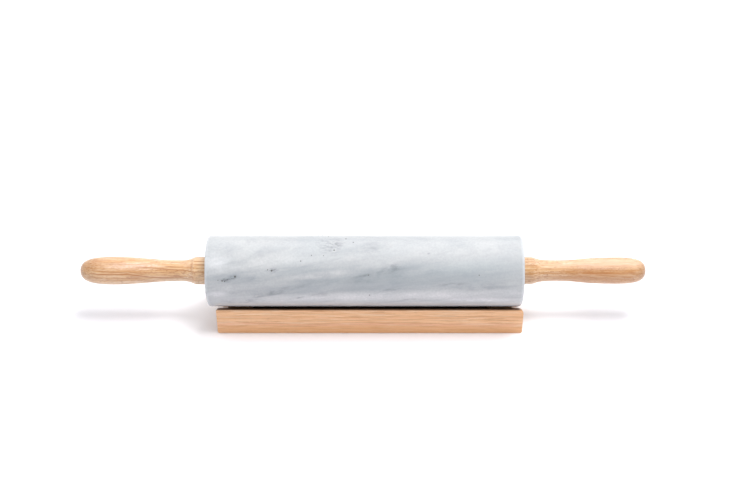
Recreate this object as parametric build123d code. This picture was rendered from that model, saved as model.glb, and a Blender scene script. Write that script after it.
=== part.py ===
from build123d import *
from math import radians, sqrt, tan
import os

# A marble rolling pin lying in its wooden cradle. All sizes are in millimetres.
# +X runs along the pin to its right end and +Z is up. The origin is on the surface
# that the cradle stands on, below the middle of the pin's whole length.

# Marble barrel
BARREL_DIAMETER = 58.4
BARREL_LENGTH = 255.0
BARREL_EDGE_ROUND = 2.6
BARREL_BORE_DIAMETER = 12.0

# Steel axle rod, with a thinner thread at each end
ROD_DIAMETER = 8.0
THREAD_DIAMETER = 6.0
THREAD_LENGTH = 22.0
THREAD_TIP_CHAMFER = 0.8

# Nylon bush in each end of the barrel
BUSH_DIAMETER = 16.0
BUSH_LENGTH = 18.0
FLANGE_DIAMETER = 22.0
FLANGE_THICKNESS = 1.6
BUSH_MOUTH_CHAMFER = 0.4

# Steel washer between each bush and its handle
WASHER_DIAMETER = 18.0
WASHER_THICKNESS = 1.0

# Brass insert in each handle, held by rings on its outside
INSERT_DIAMETER = 10.0
INSERT_LENGTH = 15.0
INSERT_RING_DEPTH = 0.8
INSERT_RING_WIDTH = 1.3
INSERT_RING_PITCH = 2.5
INSERT_RECESS = 0.6

# Left handle, lengths in order from the barrel to the tip
LEFT_COLLAR_DIAMETER = 22.8
LEFT_COLLAR_LENGTH = 8.8
LEFT_SHOULDER_LENGTH = 11.4
LEFT_NECK_DIAMETER = 17.3
LEFT_NECK_LENGTH = 1.0
LEFT_SWELL_LENGTH = 54.4
LEFT_BELLY_DIAMETER = 23.1
LEFT_NOSE_LENGTH = 27.6

# Right handle, turned by hand and so a little different
RIGHT_COLLAR_DIAMETER = 22.4
RIGHT_COLLAR_LENGTH = 5.6
RIGHT_SHOULDER_LENGTH = 22.0
RIGHT_NECK_DIAMETER = 17.2
RIGHT_NECK_LENGTH = 1.0
RIGHT_SWELL_LENGTH = 48.4
RIGHT_BELLY_DIAMETER = 22.0
RIGHT_NOSE_LENGTH = 23.0
HANDLE_FACE_ROUND = 0.8

# Fullness of the handles' curves: 0 is a straight run, 1 the squarest bend
LEFT_CREST_FULLNESS = 0.10
LEFT_FOOT_FULLNESS = 0.59
LEFT_SWELL_START_FULLNESS = 0.36
LEFT_SWELL_END_FULLNESS = 0.35
LEFT_NOSE_FULLNESS = 0.73
RIGHT_CREST_FULLNESS = 0.27
RIGHT_FOOT_FULLNESS = 0.91
RIGHT_SWELL_START_FULLNESS = 0.31
RIGHT_SWELL_END_FULLNESS = 0.60
RIGHT_NOSE_FULLNESS = 0.75

# Wooden cradle: two long rails, with two saddles between them that carry the barrel
CRADLE_HEIGHT = 25.0
CRADLE_SHORTER_THAN_BARREL = 4.0
CRADLE_OFFSET = 4.0
SEAT_DEPTH = 5.5
RAIL_THICKNESS = 9.0
RAIL_TOP_FLAT = 0.1
RAIL_EDGE_ROUND = 0.9
RAIL_LIP_ROUND = 0.5
RAIL_LEFT_TOP_ROUND = 1.6
RAIL_RIGHT_TOP_ROUND = 4.5
RAIL_FOOT_ROUND = 1.6
SADDLE_THICKNESS = 18.0
SADDLE_INSET = 9.0
SADDLE_CORNER_CHAMFER = 2.3

# Blind dowels that join each saddle to the rails
DOWEL_DIAMETER = 6.0
DOWEL_TIP_CHAMFER = 0.6
DOWEL_DEPTH_IN_RAIL = 5.5
DOWEL_DEPTH_IN_SADDLE = 9.0
DOWEL_SPACING = 9.0
DOWEL_HEIGHT = 9.5

# Fits and gaps
RUNNING_CLEARANCE = 0.05
GLUE_LINE = 0.05
THREAD_CLEARANCE = 0.05
THREAD_HOLE_CLEARANCE = 0.4
FLANGE_POCKET_CLEARANCE = 0.2
WASHER_CLEARANCE = 0.2
END_PLAY = 0.3
SEAT_CLEARANCE = 0.3
RAIL_CLEARANCE = 2.3
DOWEL_END_GAP = 0.3
DRILL_DEPTH_SPARE = 2.0
DRILL_POINT_ANGLE = 118.0
SAME_PLACE = 0.01

# Places that follow from the sizes
seat_radius = BARREL_DIAMETER / 2 + SEAT_CLEARANCE
axis_height = CRADLE_HEIGHT - SEAT_DEPTH + seat_radius
cove_radius = BARREL_DIAMETER / 2 + RAIL_CLEARANCE
cove_half_width = sqrt(cove_radius**2 - (axis_height - CRADLE_HEIGHT) ** 2)
lip_centre = sqrt((cove_radius + RAIL_LIP_ROUND) ** 2 - (axis_height - CRADLE_HEIGHT + RAIL_LIP_ROUND) ** 2)
rail_outer_face = lip_centre + RAIL_TOP_FLAT + RAIL_EDGE_ROUND
rail_inner_face = rail_outer_face - RAIL_THICKNESS
cradle_length = BARREL_LENGTH - CRADLE_SHORTER_THAN_BARREL
saddle_centre = cradle_length / 2 - SADDLE_INSET - SADDLE_THICKNESS / 2
dowel_centres = [
    saddle + step
    for saddle in (-saddle_centre, saddle_centre)
    for step in (-DOWEL_SPACING / 2, DOWEL_SPACING / 2)
]
handle_face = END_PLAY + WASHER_THICKNESS
insert_face = handle_face + INSERT_RECESS
handle_shapes = {
    "left": {
        "collar": LEFT_COLLAR_DIAMETER / 2,
        "neck": LEFT_NECK_DIAMETER / 2,
        "belly": LEFT_BELLY_DIAMETER / 2,
        "runs": (
            LEFT_COLLAR_LENGTH,
            LEFT_SHOULDER_LENGTH,
            LEFT_NECK_LENGTH,
            LEFT_SWELL_LENGTH,
            LEFT_NOSE_LENGTH,
        ),
        "shoulder": (LEFT_CREST_FULLNESS, LEFT_FOOT_FULLNESS),
        "swell": (LEFT_SWELL_START_FULLNESS, LEFT_SWELL_END_FULLNESS),
        "nose": LEFT_NOSE_FULLNESS,
    },
    "right": {
        "collar": RIGHT_COLLAR_DIAMETER / 2,
        "neck": RIGHT_NECK_DIAMETER / 2,
        "belly": RIGHT_BELLY_DIAMETER / 2,
        "runs": (
            RIGHT_COLLAR_LENGTH,
            RIGHT_SHOULDER_LENGTH,
            RIGHT_NECK_LENGTH,
            RIGHT_SWELL_LENGTH,
            RIGHT_NOSE_LENGTH,
        ),
        "shoulder": (RIGHT_CREST_FULLNESS, RIGHT_FOOT_FULLNESS),
        "swell": (RIGHT_SWELL_START_FULLNESS, RIGHT_SWELL_END_FULLNESS),
        "nose": RIGHT_NOSE_FULLNESS,
    },
}
barrel_centre = (sum(handle_shapes["left"]["runs"]) - sum(handle_shapes["right"]["runs"])) / 2


def bar(diameter, start, end):
    """A round bar along X, from one place on X to another."""
    return Pos((start + end) / 2, 0, 0) * Rot(0, 90, 0) * Cylinder(diameter / 2, end - start)


def at_end(piece, side):
    """Moves a piece drawn outwards from the barrel's end face to the left or right end."""
    turn = Rot(0, 0, 0) if side == "right" else Rot(0, 0, 180)
    reach = BARREL_LENGTH / 2 if side == "right" else -BARREL_LENGTH / 2
    return Pos(barrel_centre + reach, 0, axis_height) * turn * piece


def along_axis(piece):
    """Moves a piece drawn about the barrel's middle onto the pin's axis."""
    return Pos(barrel_centre, 0, axis_height) * piece


def make_barrel():
    """The polished stone cylinder, bored through and stepped at each end for its bush."""
    half = BARREL_LENGTH / 2
    barrel = bar(BARREL_DIAMETER, -half, half)
    barrel = fillet(barrel.edges().filter_by(GeomType.CIRCLE), BARREL_EDGE_ROUND)
    barrel -= bar(BARREL_BORE_DIAMETER, -half, half)
    bush_pocket = BUSH_DIAMETER + 2 * GLUE_LINE
    flange_pocket = FLANGE_DIAMETER + 2 * FLANGE_POCKET_CLEARANCE
    for start, inward in ((-half, 1), (half, -1)):
        for diameter, depth in ((bush_pocket, BUSH_LENGTH), (flange_pocket, FLANGE_THICKNESS)):
            ends = sorted((start, start + inward * depth))
            barrel -= bar(diameter, *ends)
    return barrel


def make_bush():
    """A flanged bush, flush with the barrel's end face."""
    bush = bar(BUSH_DIAMETER, -BUSH_LENGTH, 0) + bar(FLANGE_DIAMETER, -FLANGE_THICKNESS, 0)
    bush -= bar(ROD_DIAMETER + 2 * RUNNING_CLEARANCE, -BUSH_LENGTH, 0)
    mouths = bush.edges().filter_by(GeomType.CIRCLE).filter_by(
        lambda edge: edge.radius < BUSH_DIAMETER / 2 - BUSH_MOUTH_CHAMFER
    )
    return chamfer(mouths, BUSH_MOUTH_CHAMFER)


def make_washer():
    """A plain washer, seated against the handle's inner face."""
    washer = bar(WASHER_DIAMETER, END_PLAY, handle_face)
    return washer - bar(ROD_DIAMETER + 2 * WASHER_CLEARANCE, END_PLAY, handle_face)


def make_insert():
    """A threaded insert with rings that grip the wood."""
    end = insert_face + INSERT_LENGTH
    insert = bar(INSERT_DIAMETER - 2 * INSERT_RING_DEPTH, insert_face, end)
    ring_count = int((INSERT_LENGTH - INSERT_RING_WIDTH) // INSERT_RING_PITCH) + 1
    for ring in range(ring_count):
        start = insert_face + ring * INSERT_RING_PITCH
        insert += bar(INSERT_DIAMETER, start, start + INSERT_RING_WIDTH)
    return insert - bar(THREAD_DIAMETER + 2 * THREAD_CLEARANCE, insert_face, end)


def make_rod():
    """The axle, thick between its shoulders and thinner where its ends are threaded."""
    shoulder = BARREL_LENGTH / 2 + insert_face
    tip = shoulder + THREAD_LENGTH
    thread = bar(THREAD_DIAMETER, -tip, tip)
    thread = chamfer(thread.edges().filter_by(GeomType.CIRCLE), THREAD_TIP_CHAMFER)
    return thread + bar(ROD_DIAMETER, -shoulder, shoulder)


def bend(start, end, leaving, arriving):
    """A smooth curve between two points of the outline, level with the axis at both."""
    run = end[0] - start[0]
    return Bezier(start, (start[0] + leaving * run, start[1]), (end[0] - arriving * run, end[1]), end)


def make_handle(collar, neck, belly, runs, shoulder, swell, nose):
    """A turned handle, drawn outwards from the barrel's end face and bored for its insert."""
    collar_end, neck_start, neck_end, nose_start, tip = (
        handle_face + sum(runs[: count + 1]) for count in range(len(runs))
    )
    face_corner = (handle_face + HANDLE_FACE_ROUND, collar - HANDLE_FACE_ROUND)
    outline = [
        Line((handle_face, 0), (handle_face, face_corner[1])),
        CenterArc(face_corner, HANDLE_FACE_ROUND, 180, -90),
        Line((face_corner[0], collar), (collar_end, collar)),
        bend((collar_end, collar), (neck_start, neck), *shoulder),
        Line((neck_start, neck), (neck_end, neck)),
        bend((neck_end, neck), (nose_start, belly), *swell),
        Bezier(
            (nose_start, belly),
            (nose_start + nose * (tip - nose_start), belly),
            (tip, nose * belly),
            (tip, 0),
        ),
        Line((tip, 0), (handle_face, 0)),
    ]
    handle = revolve(make_face(outline), Axis.X)
    handle -= bar(INSERT_DIAMETER + 2 * GLUE_LINE, handle_face, insert_face + INSERT_LENGTH)
    return handle - thread_hole()


def thread_hole():
    """The drilled hole that the rod's thread reaches into, with the drill's cone at its end."""
    radius = THREAD_DIAMETER / 2 + THREAD_HOLE_CLEARANCE
    end = insert_face + THREAD_LENGTH + DRILL_DEPTH_SPARE
    cone_length = radius / tan(radians(DRILL_POINT_ANGLE / 2))
    cone = Cone(radius, 0, cone_length, align=(Align.CENTER, Align.CENTER, Align.MIN))
    return bar(2 * radius, handle_face, end) + Pos(end, 0, 0) * Rot(0, 90, 0) * cone


def corners_at(section, across):
    """The corners of a cradle section that lie this far to either side of the cradle's middle."""
    return section.vertices().filter_by(lambda corner: abs(abs(corner.X) - across) < SAME_PLACE)


def corner_of(outline, across, up):
    """The corners of the cradle's outline, seen from the front, at one end and height."""
    return outline.vertices().filter_by(
        lambda corner: abs(corner.X - across) < SAME_PLACE and abs(corner.Y - up) < SAME_PLACE
    )


def dowels(diameter, end_gap, face):
    """Round bars across the joints of one rail, each end carried on by the gap given."""
    start = rail_inner_face - DOWEL_DEPTH_IN_SADDLE - end_gap
    end = rail_inner_face + DOWEL_DEPTH_IN_RAIL + end_gap
    across = Pos(0, face * (start + end) / 2, DOWEL_HEIGHT) * Rot(90, 0, 0)
    return [Pos(centre, 0, 0) * across * Cylinder(diameter / 2, end - start) for centre in dowel_centres]


def dowel_holes(face):
    """The holes for one rail's dowels, deep enough for glue at both ends."""
    return dowels(DOWEL_DIAMETER + 2 * GLUE_LINE, DOWEL_END_GAP, face)


def in_cradle(piece):
    """Moves a piece drawn about the cradle's middle to its place under the pin."""
    return Pos(barrel_centre + CRADLE_OFFSET, 0, 0) * piece


def make_rail(face):
    """A long rail, coved along its inner top edge to stay clear of the barrel."""
    section = Rectangle(RAIL_THICKNESS, CRADLE_HEIGHT, align=(Align.CENTER, Align.MIN))
    section = Pos(face * (rail_inner_face + RAIL_THICKNESS / 2), 0) * section
    section -= Pos(0, axis_height) * Circle(cove_radius)
    section = fillet(corners_at(section, rail_outer_face), RAIL_EDGE_ROUND)
    section = fillet(corners_at(section, cove_half_width), RAIL_LIP_ROUND)
    outline = Rectangle(cradle_length, CRADLE_HEIGHT, align=(Align.CENTER, Align.MIN))
    half_length = cradle_length / 2
    for across, top_round in ((-half_length, RAIL_LEFT_TOP_ROUND), (half_length, RAIL_RIGHT_TOP_ROUND)):
        outline = fillet(corner_of(outline, across, CRADLE_HEIGHT), top_round)
        outline = fillet(corner_of(outline, across, 0), RAIL_FOOT_ROUND)
    rail = extrude(Plane.YZ * section, half_length, both=True)
    rail &= extrude(Plane.XZ * outline, rail_outer_face, both=True)
    return rail - dowel_holes(face)


def make_saddle(side):
    """A cross-piece glued between the rails, hollowed along its top to the barrel's curve."""
    half_width = rail_inner_face - GLUE_LINE
    section = Rectangle(2 * half_width, CRADLE_HEIGHT, align=(Align.CENTER, Align.MIN))
    section -= Pos(0, axis_height) * Circle(seat_radius)
    top_corners = corners_at(section, half_width).filter_by(lambda corner: corner.Y > 0)
    section = chamfer(top_corners, SADDLE_CORNER_CHAMFER)
    saddle = Pos(side * saddle_centre, 0, 0) * extrude(Plane.YZ * section, SADDLE_THICKNESS / 2, both=True)
    return saddle - dowel_holes(-1) - dowel_holes(1)


def make_dowels():
    """The dowels of both rails, chamfered at their ends."""
    plain = dowels(DOWEL_DIAMETER, 0, -1) + dowels(DOWEL_DIAMETER, 0, 1)
    return Compound([chamfer(dowel.edges().filter_by(GeomType.CIRCLE), DOWEL_TIP_CHAMFER) for dowel in plain])


pieces = {
    "front_rail": in_cradle(make_rail(-1)),
    "back_rail": in_cradle(make_rail(1)),
    "left_saddle": in_cradle(make_saddle(-1)),
    "right_saddle": in_cradle(make_saddle(1)),
    "cradle_dowels": in_cradle(make_dowels()),
    "marble_barrel": along_axis(make_barrel()),
    "axle_rod": along_axis(make_rod()),
}
for side, shape in handle_shapes.items():
    pieces[side + "_handle"] = at_end(make_handle(**shape), side)
    pieces[side + "_bush"] = at_end(make_bush(), side)
    pieces[side + "_washer"] = at_end(make_washer(), side)
    pieces[side + "_insert"] = at_end(make_insert(), side)

os.makedirs("parts", exist_ok=True)
for name, piece in pieces.items():
    export_step(piece, f"parts/{name}.step")
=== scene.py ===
"""A marble rolling pin in its wooden cradle: the finish of every surface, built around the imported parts.

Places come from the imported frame, in metres. Sizes held here are in millimetres, and MM turns them to metres.
"""

import itertools
import logging
import math
from collections.abc import Callable, Sequence
from dataclasses import dataclass
from enum import Enum

import bmesh
import bpy
from mathutils import Euler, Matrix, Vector, noise


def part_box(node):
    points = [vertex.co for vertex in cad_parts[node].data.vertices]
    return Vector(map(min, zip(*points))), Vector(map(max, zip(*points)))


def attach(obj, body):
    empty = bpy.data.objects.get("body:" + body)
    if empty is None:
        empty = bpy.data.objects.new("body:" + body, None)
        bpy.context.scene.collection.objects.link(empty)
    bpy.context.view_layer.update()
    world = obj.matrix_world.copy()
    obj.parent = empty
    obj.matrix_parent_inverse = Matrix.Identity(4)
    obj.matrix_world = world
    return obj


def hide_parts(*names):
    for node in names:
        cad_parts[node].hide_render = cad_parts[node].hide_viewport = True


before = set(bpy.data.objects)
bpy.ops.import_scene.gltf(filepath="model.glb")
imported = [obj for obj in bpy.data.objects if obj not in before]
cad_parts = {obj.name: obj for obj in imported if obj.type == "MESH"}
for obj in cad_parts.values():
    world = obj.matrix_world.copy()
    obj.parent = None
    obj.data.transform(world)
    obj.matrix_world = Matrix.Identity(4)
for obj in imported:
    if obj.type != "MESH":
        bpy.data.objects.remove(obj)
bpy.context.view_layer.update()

LOG = logging.getLogger("rolling_pin")
MM = 0.001
SHARP_ANGLE = math.radians(38)
# A colour mix takes its two colours at these inputs.
MIX_A, MIX_B = 6, 7

Point = tuple[float, float]
Triple = tuple[float, float, float]
Material = bpy.types.Material
Object = bpy.types.Object
Socket = bpy.types.NodeSocket
# A fade eases a socket from the first span onto the second one, and holds it at both ends.
Fade = tuple[Socket, Point, Point]
FADE_IN = (0.0, 1.0)
FADE_OUT = (1.0, 0.0)


class Side(Enum):
    """The two ends of the pin, with the direction in which each points along X."""

    LEFT = -1
    RIGHT = 1

    def node(self, part: str) -> str:
        """The name of this side's copy of a part."""
        return f"{self.name.lower()}_{part}"


def srgb(code: str) -> tuple[float, float, float, float]:
    """Turns an sRGB hex colour to linear.

    Args:
        code: six hex digits with a leading hash.

    Returns:
        Linear red, green and blue, and an alpha of 1.
    """
    shares = [int(code[place : place + 2], 16) / 255 for place in (1, 3, 5)]
    linear = [share / 12.92 if share <= 0.04045 else ((share + 0.055) / 1.055) ** 2.4 for share in shares]
    return (linear[0], linear[1], linear[2], 1.0)


@dataclass(frozen=True)
class Pin:
    """Where the pin lies in the frame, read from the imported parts."""

    centre: Vector
    barrel_radius: float
    barrel_half: float

    @classmethod
    def read(cls) -> "Pin":
        """Works out the pin's place from its stone barrel.

        Returns:
            The pin.
        """
        low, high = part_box("marble_barrel")
        across = min(high.y - low.y, high.z - low.z)
        return cls((low + high) / 2, across / 2 / MM, (high.x - low.x) / 2 / MM)

    def place(self, along: float, angle: float, radius: float) -> Vector:
        """A point in the frame from its place on the pin.

        Args:
            along: millimetres from the barrel's middle towards the right handle.
            angle: degrees above level, seen from the front.
            radius: millimetres from the pin's axis.

        Returns:
            The point in metres.
        """
        turn = math.radians(angle)
        return self.centre + Vector((along, -radius * math.cos(turn), radius * math.sin(turn))) * MM


@dataclass(frozen=True)
class Smudge:
    """A place at a surface with a colour laid over it: an ellipsoid of mottling, in millimetres and degrees.

    Some smudges are the material's own colour and some are painted light and painted shade. The mottling is
    stretched along the piece, and an even smudge lets less of the ground through its gaps.
    """

    along: float
    angle: float
    length: float
    width: float
    rise: float
    strength: float
    mottle: float
    colour: str = "#52565C"
    even: float = 0.0
    stretch: float = 2.5


class Recipe:
    """A material or a world in the making, and the steps that every finish is made up of."""

    def __init__(self, owner: Material | bpy.types.World) -> None:
        """Starts with no nodes at all.

        Args:
            owner: the new material or world.
        """
        owner.use_nodes = True
        self.owner, self.tree = owner, owner.node_tree
        self.tree.nodes.clear()

    def add(self, kind: str, feeds: dict | None = None, **settings: object) -> Socket | None:
        """Adds one node with its settings and links.

        Args:
            kind: Blender's name for the node's type.
            feeds: for an input's name or number, either a value or the output socket to link to it.
            settings: the node's own properties.

        Returns:
            The first output that is in use with these settings, if the node has one.
        """
        node = self.tree.nodes.new(kind)
        for key, value in settings.items():
            setattr(node, key, value)
        for key, value in (feeds or {}).items():
            if isinstance(value, Socket):
                self.tree.links.new(value, node.inputs[key])
            else:
                node.inputs[key].default_value = value
        return next((output for output in node.outputs if output.enabled), None)

    def local(self, centre: Vector, turn: Triple = (0.0, 0.0, 0.0)) -> Socket:
        """Object coordinates in millimetres about a point, along turned axes.

        Args:
            centre: the point in metres.
            turn: the turn of the axes in degrees about X, Y and Z.

        Returns:
            The socket with the coordinates.
        """
        place = self.add("ShaderNodeTexCoord").node.outputs["Object"]
        turned = Euler([math.radians(part) for part in turn])
        feeds = {"Vector": place, "Location": centre, "Rotation": turned, "Scale": (MM, MM, MM)}
        return self.add("ShaderNodeMapping", feeds, vector_type="TEXTURE")

    def grain(
        self,
        coords: Socket,
        size: Triple,
        span: Point,
        detail: float = 3.0,
        roughness: float = 0.55,
        seed: float = 0.0,
    ) -> Socket:
        """Soft noise whose blotches have a real size, stretched to the range 0 to 1.

        Args:
            coords: coordinates in millimetres.
            size: the blotches' size in millimetres along each axis.
            span: the noise values that become 0 and 1.
            detail: how many finer layers the noise has.
            roughness: how strong the finer layers are.
            seed: moves the pattern, so that two patterns differ.

        Returns:
            The socket with the value.
        """
        feeds = {"Vector": coords, "Location": (seed, seed, seed), "Scale": tuple(1 / part for part in size)}
        shifted = self.add("ShaderNodeMapping", feeds)
        feeds = {"Vector": shifted, "Scale": 1.0, "Detail": detail, "Roughness": roughness}
        return self.product((self.add("ShaderNodeTexNoise", feeds), span, FADE_IN))

    def product(self, *factors: Socket | float | Fade) -> Socket | float:
        """Multiplies factors with one another, with the fades among them eased first.

        Args:
            factors: values, sockets and fades.

        Returns:
            The product, as a socket unless the only factor is a value.
        """
        product: Socket | float | None = None
        for factor in factors:
            if isinstance(factor, tuple):
                value, span, onto = factor
                feeds = {"Value": value, "From Min": span[0], "From Max": span[1]}
                feeds |= {"To Min": onto[0], "To Max": onto[1]}
                factor = self.add("ShaderNodeMapRange", feeds, interpolation_type="SMOOTHSTEP")
            if product is None:
                product = factor
            else:
                product = self.add("ShaderNodeMath", {0: product, 1: factor}, operation="MULTIPLY")
        return product

    def out(self, coords: Socket) -> Socket:
        """How far a place lies from the X axis of its coordinates."""
        flat = self.add("ShaderNodeVectorMath", {0: coords, 1: (0.0, 1.0, 1.0)}, operation="MULTIPLY")
        return self.add("ShaderNodeVectorMath", {0: flat}, operation="LENGTH")

    def off(self, value: Socket, level: Socket | float) -> Socket:
        """How far a value lies from a level, on either side."""
        step = self.add("ShaderNodeMath", {0: value, 1: level}, operation="SUBTRACT")
        return self.add("ShaderNodeMath", {0: step}, operation="ABSOLUTE")

    def tint(self, ground: Socket | str, over: str, *factors: Socket | float | Fade) -> Socket:
        """Lays one colour over another.

        Args:
            ground: the colour so far, as a hex colour or a socket.
            over: the hex colour laid over it.
            factors: how much of the upper colour shows, as the product of values, sockets and fades.

        Returns:
            The socket with the colour.
        """
        lower = srgb(ground) if isinstance(ground, str) else ground
        feeds = {0: self.product(*factors), MIX_A: lower, MIX_B: srgb(over)}
        return self.add("ShaderNodeMix", feeds, data_type="RGBA")

    def smear(self, centre: Vector, smudge: Smudge, ground: Socket) -> Socket:
        """Lays one smudge over the surface.

        Args:
            centre: the smudge's middle, in metres.
            smudge: the smudge.
            ground: the colour so far.

        Returns:
            The socket with the new colour.
        """
        coords = self.local(centre, (-smudge.angle, -smudge.rise, 0.0))
        size = (smudge.mottle * smudge.stretch, smudge.mottle, smudge.mottle)
        ragged = self.grain(coords, size, (0.38, 0.72), 4.0, 0.65, smudge.along)
        if smudge.even:
            ragged = (ragged, FADE_IN, (smudge.even, 1.0))
        scale = (2 / smudge.length, 2 / smudge.width, 2 / smudge.width)
        unit = self.add("ShaderNodeMapping", {"Vector": coords, "Scale": scale})
        reach = self.add("ShaderNodeVectorMath", {0: unit}, operation="LENGTH")
        inside = (reach, (0.1, 1.1), (smudge.strength, 0.0))
        return self.tint(ground, smudge.colour, inside, ragged)

    def surface(self, feeds: dict) -> Material:
        """Ends the material in a shader with these inputs."""
        self.add("ShaderNodeOutputMaterial", {"Surface": self.add("ShaderNodeBsdfPrincipled", feeds)})
        return self.owner


@dataclass(frozen=True)
class Vein:
    """A darker sheet in the stone, level with its layers, in millimetres."""

    level: float
    thickness: float
    start: float
    end: float
    strength: float
    patch: float = 16.0


@dataclass(frozen=True)
class PolishedMarble:
    """Pale grey marble, sawn, ground round and polished.

    The stone's layers lie almost level and rise a little to the right, so they show as thin rising streaks on
    the front and as broad clouds on top. The polish mirrors the light in soft-edged bands.
    """

    name: str = "marble_polished"
    pale: str = "#B0B1B3"
    middle: str = "#A0A4A8"
    grey: str = "#858A8F"
    warm: str = "#BBB6B7"
    dark: str = "#413C38"
    # The paler rim at the barrel's ends: partly the ground edge's duller stone, partly painted highlight.
    edge: str = "#CDD2D7"
    layer_turn: Triple = (3.0, -7.0, 0.0)
    vein_colour: str = "#6E747B"
    vein_fade: float = 22.0
    veins: tuple[Vein, ...] = (
        Vein(35.6, 3.0, -135.0, -60.0, 0.3),
        Vein(27.0, 1.4, -60.0, 30.0, 0.2),
        Vein(-12.0, 3.0, -120.0, 120.0, 0.3, 30.0),
        Vein(-22.0, 2.0, -120.0, 120.0, 0.4, 30.0),
    )
    # The long soft bands and wide patches that follow the barrel's curve are painted light and painted shade: a
    # darker band about 26 degrees up the front and another along the top, paler bands low on the front and
    # paler patches about 45 to 55 degrees up on either half. The dark patch low near the left end is painted
    # shade too. The other smudges are the stone's own clouds.
    clouds_and_painted_light: tuple[Smudge, ...] = (
        Smudge(20.0, 26.0, 340.0, 38.0, 3.0, 0.74, 16.0, "#79838A", even=0.55),
        Smudge(10.0, -7.0, 370.0, 14.0, 2.0, 0.8, 13.0, "#D2D1D3", even=0.55),
        Smudge(-70.0, 55.0, 150.0, 14.0, 3.0, 0.55, 18.0, "#C6C7C8", even=0.5),
        Smudge(85.0, 44.0, 90.0, 16.0, 3.0, 0.7, 15.0, "#AEB3B5", even=0.5),
        Smudge(-114.1, 5.5, 34.0, 14.0, 8.0, 0.6, 8.0, "#C2C1C4"),
        Smudge(-119.0, 52.0, 28.0, 20.0, 0.0, 0.7, 10.0, "#D0D1D4", even=0.6),
        Smudge(-118.0, -2.0, 24.0, 8.0, 0.0, 0.8, 8.0, "#D6D5D8", even=0.6),
        Smudge(92.0, -15.0, 90.0, 8.0, 0.0, 0.75, 9.0, "#D6D4D7", even=0.5),
        Smudge(10.0, 98.0, 260.0, 18.0, 0.0, 0.35, 16.0, "#8A8F96", even=0.5),
        Smudge(-110.0, 27.0, 48.0, 13.0, 10.0, 0.7, 8.0, "#7A828A", even=0.35),
        Smudge(-98.0, 42.0, 64.0, 12.0, 6.0, 0.5, 12.0, "#C8C8C9", even=0.3),
        Smudge(-36.0, 31.0, 80.0, 8.0, 6.0, 0.6, 10.0, "#C6C3C5", even=0.3),
        Smudge(20.0, 48.0, 60.0, 9.0, 6.0, 0.4, 10.0, "#C6C3C5", even=0.3),
        Smudge(-96.0, -18.0, 60.0, 12.0, 6.0, 0.75, 9.0, "#757C82", even=0.3),
        Smudge(-86.0, 27.0, 60.0, 9.0, 9.0, 0.6, 8.0, "#788088"),
        Smudge(-71.1, 2.7, 64.0, 8.0, 15.3, 0.85, 7.0, "#656C71"),
        Smudge(-49.0, -7.9, 50.0, 3.0, 16.0, 0.7, 5.0, "#656C71"),
        Smudge(10.0, 30.0, 84.0, 13.0, 15.0, 0.8, 9.0, "#71797F", even=0.2),
        Smudge(18.2, 5.5, 34.0, 4.0, 12.8, 0.6, 4.0, "#656C71"),
        Smudge(92.0, 12.0, 80.0, 11.0, 3.0, 0.6, 8.0, "#71797F"),
        Smudge(68.2, 16.2, 38.0, 4.6, 2.0, 0.5, 4.0),
        Smudge(37.5, -14.1, 22.0, 3.4, 4.0, 0.5, 3.0),
        Smudge(-35.3, -2.4, 16.0, 7.0, 8.0, 0.4, 4.0),
        Smudge(4.2, 77.6, 18.0, 18.0, 0.0, 0.3, 4.0),
        Smudge(50.8, 66.2, 24.0, 2.4, 44.0, 0.4, 5.0),
        Smudge(-2.5, 29.7, 36.0, 2.6, 13.6, 0.7, 4.0, "#5B6267"),
        Smudge(-108.1, 25.2, 21.0, 7.0, 15.0, 0.85, 1.8),
        Smudge(-73.8, 38.2, 14.0, 5.6, 12.0, 0.7, 1.8),
        Smudge(22.1, 41.7, 30.0, 10.0, 18.0, 0.75, 3.4, "#5B6167"),
        Smudge(-26.6, 85.2, 28.0, 24.0, 0.0, 0.7, 1.8),
    )
    dots: tuple[Triple, ...] = (
        (-102.9, 28.9, 1.2),
        (-73.8, 38.2, 1.0),
        (-77.0, 39.5, 0.6),
        (-50.8, 53.4, 0.7),
        (-42.3, 63.0, 0.6),
        (-32.8, 62.3, 0.5),
        (-9.2, 89.4, 0.8),
        (-24.4, 72.4, 0.9),
        (3.8, -3.7, 0.7),
        (90.9, 31.2, 0.6),
        (3.0, 31.4, 0.6),
        (-116.5, 23.1, 0.5),
        (-113.2, 22.1, 0.9),
        (-111.3, 21.2, 0.7),
        (-37.6, 112.6, 0.7),
        (-34.4, 114.0, 0.6),
        (-29.4, 109.2, 0.8),
        (-15.2, 99.6, 0.9),
    )

    def build(self, pin: Pin) -> Material:
        """Makes the material for the barrel.

        Args:
            pin: where the pin lies.

        Returns:
            The material.
        """
        look = Recipe(bpy.data.materials.new(self.name))
        plain = look.local(pin.centre)
        layers = self.sway(look, look.local(pin.centre, self.layer_turn), 60.0, 5.0)
        layers = self.sway(look, layers, 12.0, 1.4)
        clouds = look.grain(layers, (70.0, 32.0, 15.0), (0.34, 0.66))
        colour = look.tint(self.pale, self.middle, clouds, 0.7)
        bands = look.grain(layers, (60.0, 22.0, 5.0), (0.46, 0.74), 4.0, 0.6, 7.0)
        colour = look.tint(colour, self.grey, bands, 0.32)
        streaks = look.grain(layers, (24.0, 9.0, 1.6), (0.46, 0.76), 3.0, 0.6, 3.0)
        colour = look.tint(colour, self.grey, streaks, 0.2)
        glints = look.grain(layers, (26.0, 10.0, 2.2), (0.52, 0.8), 3.0, 0.6, 13.0)
        colour = look.tint(colour, self.warm, glints, 0.28)
        for vein in self.veins:
            colour = self.lay(look, layers, vein, colour)
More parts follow.
